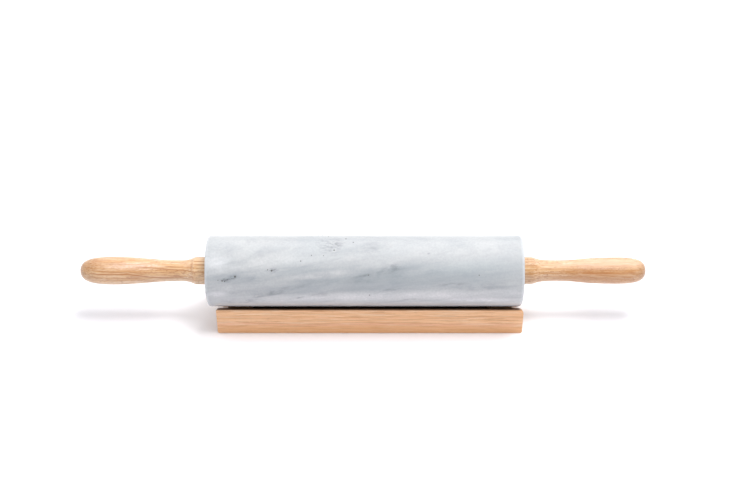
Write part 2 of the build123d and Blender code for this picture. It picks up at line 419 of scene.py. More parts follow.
        # The stone's clouds, with painted light and painted shade among them.
        for smudge in self.clouds_and_painted_light:
            place = pin.place(smudge.along, smudge.angle, pin.barrel_radius)
            colour = look.smear(place, smudge, colour)
        for along, angle, size in self.dots:
            coords = look.local(pin.place(along, angle, pin.barrel_radius))
            reach = look.add("ShaderNodeVectorMath", {0: coords}, operation="LENGTH")
            colour = look.tint(colour, self.dark, (reach, (size * 0.4, size), (0.85, 0.0)))
        # The stone's crystals are 1 to 2 mm across.
        crystals = look.grain(plain, (1.8, 1.8, 1.8), (0.3, 0.7), 3.0, 0.65)
        colour = look.tint(colour, self.grey, crystals, 0.22)
        # The last few millimetres at each end are paler: partly the ground edge's duller stone, partly a
        # painted highlight on the rim.
        along = look.add("ShaderNodeSeparateXYZ", {"Vector": plain})
        aside = look.add("ShaderNodeMath", {0: along}, operation="ABSOLUTE")
        outer = (look.out(plain), (pin.barrel_radius - 4.0, pin.barrel_radius - 1.0), FADE_IN)
        ground_rim_and_highlight = (aside, (pin.barrel_half - 3.2, pin.barrel_half - 0.8), (0.0, 0.3))
        colour = look.tint(colour, self.edge, outer, ground_rim_and_highlight)
        # The polish leaves pits of a few tenths of a millimetre, drawn coarser here so that they show.
        pits = look.grain(plain, (0.9, 0.9, 0.9), (0.66, 0.78), 1.0)
        return look.surface(
            {
                "Base Color": colour,
                "Roughness": look.product((pits, FADE_IN, (0.15, 0.3))),
                "IOR": 1.58,
                "Subsurface Weight": 0.1,
                "Subsurface Radius": (1.0, 0.95, 0.9),
                "Subsurface Scale": 3.0 * MM,
                "Normal": look.add("ShaderNodeBump", {"Height": pits, "Distance": -0.01 * MM}),
            },
        )

    def sway(self, look: Recipe, coords: Socket, size: float, reach: float) -> Socket:
        """Bends coordinates about, so that nothing drawn from them runs quite straight.

        Args:
            look: the material in the making.
            coords: coordinates in millimetres.
            size: how far apart the bends lie.
            reach: how strong they are.

        Returns:
            The socket with the bent coordinates.
        """
        warp = look.add("ShaderNodeTexNoise", {"Vector": coords, "Scale": 1 / size, "Detail": 2.0})
        feeds = {0: warp.node.outputs["Color"], 1: (0.5, 0.5, 0.5)}
        shift = look.add("ShaderNodeVectorMath", feeds, operation="SUBTRACT")
        feeds = {0: shift, 1: (reach, reach, reach), 2: coords}
        return look.add("ShaderNodeVectorMath", feeds, operation="MULTIPLY_ADD")

    def lay(self, look: Recipe, layers: Socket, vein: Vein, ground: Socket) -> Socket:
        """Lays one vein through the stone.

        Args:
            look: the material in the making.
            layers: coordinates along and across the stone's layers.
            vein: the vein.
            ground: the stone's colour so far.

        Returns:
            The socket with the new colour.
        """
        along = look.add("ShaderNodeSeparateXYZ", {"Vector": layers})
        near = look.off(along.node.outputs["Z"], vein.level)
        inside = (near, (vein.thickness * 0.1, vein.thickness), (vein.strength, 0.0))
        begun = (along, (vein.start, vein.start + self.vein_fade), FADE_IN)
        left = (along, (vein.end - self.vein_fade, vein.end), FADE_OUT)
        size = (vein.patch, vein.patch, vein.thickness)
        patches = look.grain(layers, size, (0.36, 0.66), 4.0, 0.6, vein.level)
        return look.tint(ground, self.vein_colour, inside, patches, begun, left)


@dataclass(frozen=True)
class GrainLine:
    """One dark growth line along the front of a turned piece, in millimetres from the pin's middle."""

    start: float
    end: float
    start_height: float
    end_height: float
    thickness: float
    strength: float
    lead: float = 0.0


@dataclass(frozen=True)
class Hardwood:
    """A pale hardwood, turned or planed and sanded, then oiled.

    Its growth layers show as long gold and rose streaks with a darker line between them, broken up by fine
    fibres, short flecks and open pores. The streaks are drawn a little coarser than real ones, so that they
    still show at arm's length.

    The heart is where the tree's middle lies from the pin's, in millimetres, and the lean turns the grain, in
    degrees. Golden, lined, fibrous, flecked and broad say how strongly each kind of mark shows. The painted
    shade span gives the distances from the stone's axis between which painted shade on the wood next to the
    stone fades out, and the painted shade strength says how dark that painted shade is.
    """

    name: str
    pale: str = "#DDCAB0"
    light: str = "#D3B18C"
    rose: str = "#CCAA85"
    gold: str = "#C19258"
    streak: str = "#9C6636"
    fleck: str = "#8F5C34"
    end_colour: str = "#946535"
    # The colour of the painted shade on wood next to the stone.
    painted_shade_colour: str = "#5A3A20"
    layer_spacing: float = 2.6
    sway: float = 6.0
    heart: Triple = (0.0, -40.0, -57.0)
    lean: Triple = (0.0, 0.6, 0.4)
    seed: float = 0.0
    golden: float = 0.7
    lined: float = 0.75
    fibrous: float = 0.72
    flecked: float = 0.6
    roughness: float = 0.42
    coat: float = 0.0
    coat_roughness: float = 0.16
    end_grain: float = 0.9
    lines: tuple[GrainLine, ...] = ()
    zones: tuple[Smudge, ...] = ()
    zone_radius: float = 11.0
    broad: float = 0.45
    # Painted shade on wood next to the stone: where it fades out, and how dark it gets.
    painted_shade_span: Point | None = None
    painted_shade_strength: float = 0.88

    def build(self, centre: Vector) -> Material:
        """Makes the material for a piece of wood about a point.

        Args:
            centre: the point in metres that the wood's pattern is laid out from.

        Returns:
            The material.
        """
        look = Recipe(bpy.data.materials.new(self.name))
        coords = look.local(centre + Vector(self.heart) * MM, self.lean)
        count = self.layers(look, coords)
        phase = look.add("ShaderNodeMath", {0: count}, operation="FRACT")
        number = look.add("ShaderNodeMath", {0: count}, operation="FLOOR")
        chance = look.add("ShaderNodeTexWhiteNoise", {"W": number}, noise_dimensions="1D")
        tones = look.add("ShaderNodeSeparateColor", {"Color": chance.node.outputs["Color"]}).node.outputs
        colour = look.tint(self.light, self.rose, tones["Red"])
        late = (phase, (0.1, 0.9), FADE_IN)
        tone = (tones["Green"], (0.0, 0.8), FADE_IN)
        colour = look.tint(colour, self.gold, late, tone, self.golden)
        broad = self.streaks(look, coords, (45.0, 2.2), (0.4, 0.66), 5.0, 2.0, 0.5)
        colour = look.tint(colour, self.gold, broad, self.broad)
        fibres = self.streaks(look, coords, (24.0, 0.95), (0.48, 0.66), 2.0)
        colour = look.tint(colour, self.streak, fibres, self.fibrous)
        shine = self.streaks(look, coords, (22.0, 1.0), (0.5, 0.67), 31.0)
        colour = look.tint(colour, self.pale, shine, 0.55)
        rise = (phase, (0.7, 0.93), FADE_IN)
        fall = (phase, (0.94, 1.0), FADE_OUT)
        strength = (tones["Blue"], (0.1, 1.0), (0.15, self.lined))
        broken = self.streaks(look, coords, (34.0, 4.0), (0.34, 0.6), 17.0, 2.0, 0.5)
        colour = look.tint(colour, self.streak, rise, fall, strength, broken)
        flecks = self.streaks(look, coords, (2.8, 0.75), (0.54, 0.65), 8.0, 2.0)
        area = self.streaks(look, coords, (40.0, 7.0), (0.38, 0.56), 11.0, 2.0, 0.5)
        colour = look.tint(colour, self.fleck, flecks, area, self.flecked)
        # Real pores are about a tenth of a millimetre wide. They are drawn wider so that they show.
        pores = self.streaks(look, coords, (3.2, 0.26), (0.62, 0.74), 21.0, 2.0)
        colour = look.tint(colour, self.fleck, pores, 0.2 + 0.4 * self.flecked)
        # Zones: patches of the wood's own colour, and on the handles painted highlight along the top and,
        # partly, painted shade low on the front.
        for zone in self.zones:
            turn = math.radians(zone.angle)
            out = Vector((0.0, -math.cos(turn), math.sin(turn))) * self.zone_radius
            colour = look.smear(centre + (Vector((zone.along, 0.0, 0.0)) + out) * MM, zone, colour)
        for line in self.lines:
            colour = self.draw(look, centre, line, colour)
        # Painted shade: wood close round the stone lies in the dark gap under it, so it is drawn darker.
        if self.painted_shade_span:
            away = look.out(look.local(centre))
            colour = look.tint(colour, self.painted_shade_colour, (away, self.painted_shade_span, (self.painted_shade_strength, 0.0)))
        height = look.add("ShaderNodeMath", {0: fibres, 1: pores}, operation="ADD")
        return look.surface(
            {
                "Base Color": self.cut_end(look, coords, colour),
                "Roughness": look.product((pores, FADE_IN, (self.roughness, self.roughness + 0.2))),
                "IOR": 1.5,
                "Coat Weight": self.coat,
                "Coat Roughness": self.coat_roughness,
                "Normal": look.add("ShaderNodeBump", {"Height": height, "Distance": -0.03 * MM}),
            },
        )

    def layers(self, look: Recipe, coords: Socket) -> Socket:
        """Counts the growth layers out from the tree's heart, a little uneven along the grain.

        Args:
            look: the material in the making.
            coords: coordinates in millimetres, along and across the grain.

        Returns:
            The socket with the count.
        """
        feeds = {"Vector": coords, "Location": (self.seed,) * 3, "Scale": (1 / 75.0, 1 / 16.0, 1 / 16.0)}
        bend = look.add("ShaderNodeMapping", feeds)
        warp = look.add("ShaderNodeTexNoise", {"Vector": bend, "Scale": 1.0, "Detail": 3.0})
        feeds = {0: warp, 1: self.sway, 2: look.out(coords)}
        radius = look.add("ShaderNodeMath", feeds, operation="MULTIPLY_ADD")
        return look.product(radius, 1 / self.layer_spacing)

    def streaks(
        self,
        look: Recipe,
        coords: Socket,
        size: Point,
        span: Point,
        seed: float,
        detail: float = 3.0,
        roughness: float = 0.6,
    ) -> Socket:
        """Soft streaks along the grain.

        Args:
            look: the material in the making.
            coords: coordinates in millimetres, along and across the grain.
            size: the streaks' length and width in millimetres.
            span: the noise values that become 0 and 1.
            seed: moves the pattern, so that two patterns of one piece differ.
            detail: how many finer layers the noise has.
            roughness: how strong the finer layers are.

        Returns:
            The socket with the value.
        """
        return look.grain(coords, (size[0], size[1], size[1]), span, detail, roughness, self.seed + seed)

    def draw(self, look: Recipe, centre: Vector, line: GrainLine, ground: Socket) -> Socket:
        """Draws one growth line over the wood.

        Args:
            look: the material in the making.
            centre: the pin's middle, in metres.
            line: the line.
            ground: the wood's colour so far.

        Returns:
            The socket with the new colour.
        """
        parts = look.add("ShaderNodeSeparateXYZ", {"Vector": look.local(centre)}).node.outputs
        level = look.product((parts["X"], (line.start, line.end), (line.start_height, line.end_height)))
        near = look.off(parts["Z"], level)
        inside = (near, (line.thickness * 0.2, line.thickness), (line.strength, 0.0))
        front = (parts["Y"], (-2.0, 2.0), FADE_OUT)
        first = line.start - line.lead
        begun = (parts["X"], (first - 4.0, first + 10.0), FADE_IN)
        left = (parts["X"], (line.end, line.end + 36.0), FADE_OUT)
        return look.tint(ground, self.streak, inside, front, begun, left)

    def cut_end(self, look: Recipe, coords: Socket, ground: Socket) -> Socket:
        """Darkens and speckles the wood where its surface runs across the grain.

        Args:
            look: the material in the making.
            coords: coordinates in millimetres, along and across the grain.
            ground: the wood's colour so far.

        Returns:
            The socket with the new colour.
        """
        grain = Euler([math.radians(part) for part in self.lean]).to_matrix() @ Vector((1.0, 0.0, 0.0))
        feeds = {0: look.add("ShaderNodeTexCoord").node.outputs["Normal"], 1: grain}
        across = look.add("ShaderNodeVectorMath", feeds, operation="DOT_PRODUCT")
        end = look.add("ShaderNodeMath", {0: across, 1: 2.0}, operation="POWER")
        specks = self.streaks(look, coords, (1.4, 0.9), (0.35, 0.65), 3.0)
        share = (specks, FADE_IN, (self.end_grain * 0.45, self.end_grain))
        return look.tint(ground, self.end_colour, end, share)


@dataclass(frozen=True)
class Metal:
    """Bright metal, drawn or turned, with fine lines round its axis that spread its shine."""

    name: str
    colour: str = "#C8C9CA"
    worn_colour: str = "#55504A"
    line: float = 0.5
    roughness: float = 0.28

    def build(self, centre: Vector) -> Material:
        """Makes the material for a piece of metal.

        Args:
            centre: a point on the axis that it was drawn or turned about, in metres.

        Returns:
            The material.
        """
        look = Recipe(bpy.data.materials.new(self.name))
        # Tool marks are finer than this. They are drawn half a millimetre apart so that they show.
        lines = look.grain(look.local(centre), (self.line, 12.0, 12.0), (0.3, 0.7), 2.0)
        return look.surface(
            {
                "Base Color": look.tint(self.colour, self.worn_colour, lines, 0.12),
                "Metallic": 1.0,
                "Roughness": look.product((lines, FADE_IN, (self.roughness, self.roughness + 0.12))),
                "Normal": look.add("ShaderNodeBump", {"Height": lines, "Distance": 0.01 * MM}),
            },
        )


@dataclass(frozen=True)
class MouldedNylon:
    """Natural nylon, moulded: off-white, waxy and faintly mottled."""

    name: str = "nylon_moulded"
    colour: str = "#E9E6DC"
    mottled: str = "#CFCABB"

    def build(self, centre: Vector) -> Material:
        """Makes the material for a bush.

        Args:
            centre: the point in metres that the mottling is laid out from.

        Returns:
            The material.
        """
        look = Recipe(bpy.data.materials.new(self.name))
        mottle = look.grain(look.local(centre), (2.5, 2.5, 2.5), (0.3, 0.7))
        return look.surface(
            {
                "Base Color": look.tint(self.colour, self.mottled, mottle, 0.25),
                "Roughness": look.product((mottle, FADE_IN, (0.42, 0.52))),
                "IOR": 1.53,
                "Subsurface Weight": 0.15,
                "Subsurface Scale": 1.5 * MM,
                "Normal": look.add("ShaderNodeBump", {"Height": mottle, "Distance": 0.02 * MM}),
            },
        )


@dataclass(frozen=True)
class MattBoard:
    """White board with matt paint: it shows soft shadows and next to no shine.

    Round the cradle it is painted paler, a painted light that lifts the shadow there, and far off it turns
    plain white. Under the cradle it is painted dark, a painted shade where next to no light gets in. The
    spans say where one colour gives way to another: far off in metres, the others in cradle sizes.
    """

    name: str = "board_painted_matt"
    colour: str = "#E3E2E7"
    # Painted light round the cradle.
    near: str = "#F8F7FA"
    far: str = "#FFFFFF"
    # Painted shade under the cradle.
    painted_shade_under_cradle: str = "#564A42"
    far_span: Point = (0.4, 1.4)
    painted_light_span: Point = (1.5, 1.0)
    painted_shade_under_cradle_span: Point = (0.99, 0.93)

    def build(self) -> Material:
        """Makes the material for the floor under the cradle.

        Returns:
            The material.
        """
        look = Recipe(bpy.data.materials.new(self.name))
        low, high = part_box("front_rail")
        middle = Vector(((low.x + high.x) / 2, 0.0, 0.0))
        place = look.add("ShaderNodeTexCoord").node.outputs["Object"]
        shifted = look.add("ShaderNodeVectorMath", {0: place, 1: middle}, operation="SUBTRACT")
        feeds = {0: shifted, 1: (2 / (high.x - low.x), 1 / abs(low.y), 0.0)}
        scaled = look.add("ShaderNodeVectorMath", feeds, operation="MULTIPLY")
        size = look.add("ShaderNodeVectorMath", {0: scaled}, operation="ABSOLUTE")
        parts = look.add("ShaderNodeSeparateXYZ", {"Vector": size}).node.outputs
        reach = look.add("ShaderNodeMath", {0: parts["X"], 1: parts["Y"]}, operation="MAXIMUM")
        away = look.add("ShaderNodeVectorMath", {0: place}, operation="LENGTH")
        colour: Socket | str = self.colour
        # Whiter far off, painted light round the cradle and painted shade under it.
        for value, span, over in (
            (away, self.far_span, self.far),
            (reach, self.painted_light_span, self.near),
            (reach, self.painted_shade_under_cradle_span, self.painted_shade_under_cradle),
        ):
            feeds = {"Value": value, "From Min": span[0], "From Max": span[1]}
            colour = look.tint(colour, over, look.add("ShaderNodeMapRange", feeds))
        return look.surface({"Base Color": colour, "Roughness": 0.9, "Specular IOR Level": 0.1})


def arc(centre: Point, radius: float, start: float, end: float, steps: int) -> list[Point]:
    """Points round part of a circle.

    Args:
        centre: the circle's centre.
        radius: its radius.
        start: the first point's angle in degrees.
        end: the last point's angle in degrees.
        steps: how many runs the arc is cut into.

    Returns:
        The points, both ends included.
    """
    angles = [math.radians(start + (end - start) * step / steps) for step in range(steps + 1)]
    return [(centre[0] + radius * math.cos(a), centre[1] + radius * math.sin(a)) for a in angles]


def bezier(points: Sequence[Point], steps: int) -> list[Point]:
    """Points along a cubic curve, its first end left out.

    Args:
        points: the curve's four control points.
        steps: how many runs the curve is cut into.

    Returns:
        The points.
    """
    found = []
    for step in range(1, steps + 1):
        t = step / steps
        shares = ((1 - t) ** 3, 3 * (1 - t) ** 2 * t, 3 * (1 - t) * t**2, t**3)
        across, up = (sum(share * spot for share, spot in zip(shares, spots)) for spots in zip(*points))
        found.append((across, up))
    return found


def straight(start: Point, end: Point, steps: int) -> list[Point]:
    """Points along a line, its first end left out."""
    return [
        (start[0] + (end[0] - start[0]) * step / steps, start[1] + (end[1] - start[1]) * step / steps)
        for step in range(1, steps + 1)
    ]


def level_curve(start: Point, end: Point, bends: Point, steps: int) -> list[Point]:
    """Points along a curve that is level at both ends, its first end left out.

    Args:
        start: the curve's first end.
        end: its last end.
        bends: how far it runs on level at each end, as shares of its length.
        steps: how many runs it is cut into.

    Returns:
        The points.
    """
    length = end[0] - start[0]
    first, last = (start[0] + bends[0] * length, start[1]), (end[0] - bends[1] * length, end[1])
    return bezier([start, first, last, end], steps)


def finish_mesh(name: str, mesh: bmesh.types.BMesh) -> Object:
    """Turns a built mesh into a smooth-shaded object with crisp corners.

    Args:
        name: the piece's name.
        mesh: the built mesh, which is freed.

    Returns:
        The new object, linked to the scene.
    """
    bmesh.ops.recalc_face_normals(mesh, faces=mesh.faces)
    data = bpy.data.meshes.new(name)
    mesh.to_mesh(data)
    mesh.free()
    data.shade_smooth()
    data.set_sharp_from_angle(angle=SHARP_ANGLE)
    made = bpy.data.objects.new(name, data)
    bpy.context.scene.collection.objects.link(made)
    return made


def quarter_round(reach: float, radius: float) -> float:
    """How far a rounded edge has dropped at a distance in from its end."""
    return radius - math.sqrt(radius**2 - (radius - reach) ** 2) if reach < radius else 0.0


def shrink(outline: Sequence[Point], inset: float) -> list[Point]:
    """Moves a closed outline inwards, keeping its corners sharp.

    Args:
        outline: the points, once round anticlockwise.
        inset: how far every side moves in.

    Returns:
        The moved points.
    """
    moved = []
    count = len(outline)
    for place, (across, up) in enumerate(outline):
        before, after = outline[place - 1], outline[(place + 1) % count]
        first = Vector((before[1] - up, across - before[0])).normalized()
        second = Vector((up - after[1], after[0] - across)).normalized()
        middle = (first + second) / (1 + first.dot(second))
        moved.append((across + middle.x * inset, up + middle.y * inset))
    return moved


def loft(name: str, rings: Sequence[Sequence[Vector]]) -> Object:
    """Skins a row of closed rings and caps both ends.

    Args:
        name: the piece's name.
        rings: rings of points in metres, all with the same count.

    Returns:
        The new object.
    """
    mesh = bmesh.new()
    made = [[mesh.verts.new(point) for point in ring] for ring in rings]
    count = len(made[0])
    for first, second in zip(made, made[1:]):
        for place in range(count):
            after = (place + 1) % count
            mesh.faces.new((first[place], first[after], second[after], second[place]))
    for ring in (made[0], made[-1]):
        mesh.faces.new(ring)
    return finish_mesh(name, mesh)


def spin(
    mesh: bmesh.types.BMesh,
    outline: Sequence[Point],
    segments: int,
    place: Callable[[float, float, float], Vector],
) -> None:
    """Adds an outline turned about an axis to a mesh.

    Args:
        mesh: the mesh that gets the faces.
        outline: points of place along the axis and radius, in millimetres. It closes on itself unless its
            ends lie on the axis.
        segments: how many faces go round the axis.
        place: turns a place along the axis, an angle and a radius into a point in metres.
    """
    rings = []
    for along, radius in outline:
        around = segments if radius > 1e-6 else 1
        turns = [360.0 * turn / segments for turn in range(around)]
        rings.append([mesh.verts.new(place(along, turn, radius)) for turn in turns])
    pairs = list(zip(rings, rings[1:]))
    if len(rings[0]) > 1 and len(rings[-1]) > 1:
        pairs.append((rings[-1], rings[0]))
    for first, second in pairs:
        for segment in range(segments):
            after = (segment + 1) % segments
            corners = [
                first[segment % len(first)],
                first[after % len(first)],
                second[after % len(second)],
                second[segment % len(second)],
            ]
            mesh.faces.new(list(dict.fromkeys(corners)))


def revolve(
    name: str,
    pin: Pin,
    outline: Sequence[Point],
    segments: int,
    shape: Callable[[float, float, float], Point] | None = None,
) -> Object:
    """Turns an outline about the pin's axis.

    Args:
        name: the piece's name.
        pin: where the pin lies.
        outline: points of place along the axis and radius, in millimetres.
        segments: how many faces go round the axis.
        shape: changes place and radius by angle, for threads, knurls and the marks of hand work.

    Returns:
        The new object.
    """

    def place(along: float, angle: float, radius: float) -> Vector:
        """Shapes one point and puts it in the frame.

        Args:
            along: its place along the axis.
            angle: its angle about the axis in degrees.
            radius: its distance from the axis.

        Returns:
            The point in metres.
        """
        if shape and radius > 1e-6:
            along, radius = shape(along, radius, angle)
        return pin.place(along, angle, radius)

    mesh = bmesh.new()
    spin(mesh, outline, segments, place)
    return finish_mesh(name, mesh)


def drill(piece: Object, tool: Object) -> None:
    """Cuts one object's shape out of another and removes the cutting object.

    Args:
        piece: the object that is cut.
        tool: the cutting object.
    """
    cut = piece.modifiers.new("holes", "BOOLEAN")
    cut.operation = "DIFFERENCE"
    cut.solver = "EXACT"
    cut.object = tool
    drilled = bpy.data.meshes.new_from_object(piece.evaluated_get(bpy.context.evaluated_depsgraph_get()))
    piece.modifiers.clear()
    piece.data = drilled
    drilled.set_sharp_from_angle(angle=SHARP_ANGLE)
    bpy.data.objects.remove(tool)


def dress(piece: Object, material: Material, slot: str, body: str, *nodes: str) -> None:
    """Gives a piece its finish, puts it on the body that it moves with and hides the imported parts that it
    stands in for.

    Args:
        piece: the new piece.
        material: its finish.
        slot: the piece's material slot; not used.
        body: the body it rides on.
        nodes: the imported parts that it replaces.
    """
    piece.data.materials.append(material)
    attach(piece, body)
    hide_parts(*nodes)
    LOG.info("%s: %d faces on %s", piece.name, len(piece.data.polygons), body)


@dataclass(frozen=True)
class Barrel:
    """The stone barrel, bored through and stepped for its bushes."""

    pin: Pin
    edge_round: float = 2.6
    bore_radius: float = 6.0
    pocket_radius: float = 8.05
    pocket_depth: float = 18.0
    flange_radius: float = 11.2
    flange_depth: float = 1.6
    chip_depth: float = 1.4
    chip_scale: float = 0.45
    chip_rarity: float = 0.28

    def outline(self) -> list[Point]:
        """Half of the barrel's section, as one closed loop.

        Returns:
            Points of place along the axis and radius.
        """
        half, radius, edge = self.pin.barrel_half, self.pin.barrel_radius, self.edge_round
        right = [
            (0.0, radius),
            *straight((0.0, radius), (half - edge, radius), 24),
            *arc((half - edge, radius - edge), edge, 90.0, 0.0, 10)[1:],
            *straight((half, radius - edge), (half, self.flange_radius), 6),
            (half - self.flange_depth, self.flange_radius),
            (half - self.flange_depth, self.pocket_radius),
            (half - self.pocket_depth, self.pocket_radius),
            (half - self.pocket_depth, self.bore_radius),
        ]
        left = [(-along, radius) for along, radius in reversed(right[1:])]
        return right + left

    def worn(self, along: float, radius: float, angle: float) -> Point:
        """Takes small chips off the barrel's end edges.

        Args:
            along: a point's place along the axis.
            radius: its distance from the axis.
            angle: its angle about the axis in degrees.

        Returns:
            The worn point's place and distance.
        """
        half, full = self.pin.barrel_half, self.pin.barrel_radius
        outer = max(0.0, 1 - (full - radius) / self.edge_round)
        edge = outer * max(0.0, 1 - (half - abs(along)) / self.edge_round)
        if edge <= 0:
            return along, radius
        turn = math.radians(angle)
        spot = Vector((math.cos(turn), math.sin(turn), along / half)) * full * self.chip_scale
        chip = max(0.0, noise.noise(spot) - self.chip_rarity) * self.chip_depth * math.sqrt(edge)
        return along - math.copysign(chip, along), radius - chip

    def build(self, material: Material) -> None:
        """Builds and dresses the barrel."""
        piece = revolve("barrel_stone", self.pin, self.outline(), 288, self.worn)
        dress(piece, material, "marble", "barrel", "marble_barrel")


@dataclass(frozen=True)
class Handle:
    """A turned wooden handle: collar, shoulder, neck, swell and nose.

    Collar, neck and belly are radii, and the runs are the five parts' lengths. Each bend says how far the
    outline runs on level before it curves, as a share of its part.
    """

    pin: Pin
    side: Side
    collar: float
    neck: float
    belly: float
    runs: tuple[float, float, float, float, float]
    shoulder_bends: Point
    swell_bends: Point
    nose_bend: float
    gap: float = 1.3
    face_round: float = 0.8
    insert_radius: float = 5.05
    insert_end: float = 16.9
    drill_radius: float = 3.4
    drill_end: float = 25.9
    drill_point: float = 2.04
    hand_mark: float = 0.06
    hand_mark_length: float = 9.0

    def outline(self) -> list[Point]:
        """The handle's section from its tip on the axis to the bottom of its bore.

        Returns:
            Points of place along the axis and radius.
        """
        ends = [self.gap + sum(self.runs[: count + 1]) for count in range(len(self.runs))]
        collar_end, neck_start, neck_end, nose_start, tip = ends
        corner = (self.gap + self.face_round, self.collar - self.face_round)
        face = (self.gap, self.insert_radius)
        points = [face, *straight(face, (self.gap, corner[1]), 3)]
        points += arc(corner, self.face_round, 180.0, 90.0, 6)[1:]
        points += straight((corner[0], self.collar), (collar_end, self.collar), 6)
        points += level_curve((collar_end, self.collar), (neck_start, self.neck), self.shoulder_bends, 20)
        points += straight((neck_start, self.neck), (neck_end, self.neck), 4)
        points += level_curve((neck_end, self.neck), (nose_start, self.belly), self.swell_bends, 32)
        nose = bezier(
            [
                (nose_start, self.belly),
                (nose_start + self.nose_bend * (tip - nose_start), self.belly),
                (tip, self.nose_bend * self.belly),
                (tip, 0.0),
            ],
            40,
        )
        bore = [
            (self.insert_end, self.insert_radius),
            (self.insert_end, self.drill_radius),
            (self.drill_end, self.drill_radius),
            (self.drill_end + self.drill_point, 0.0),
        ]
        section = [*reversed(nose), *reversed(points), *bore]
        reach = self.pin.barrel_half
        return [(self.side.value * (reach + along), radius) for along, radius in section]

    def turned(self, along: float, radius: float, angle: float) -> Point:
        """Leaves the faint waves of turning and hand sanding on the outside of the wood.

        Args:
            along: a point's place along the axis.
            radius: its distance from the axis.
            angle: its angle about the axis in degrees.

        Returns:
            The sanded point's place and distance.
        """
        if radius <= self.insert_radius or abs(along) - self.pin.barrel_half < self.gap + self.face_round:
            return along, radius
        turn = math.radians(angle)
        across, up = math.cos(turn) * 1.2, math.sin(turn) * 1.2
        spot = Vector((along / self.hand_mark_length, across, up + self.side.value * 7.0))
        return along, radius - self.hand_mark * (0.5 + 0.5 * noise.noise(spot))

    def build(self, material: Material) -> None:
        """Builds and dresses the handle."""
        piece = revolve(self.side.node("handle_wood"), self.pin, self.outline(), 160, self.turned)
        dress(piece, material, "handle_wood", "handles", self.side.node("handle"))


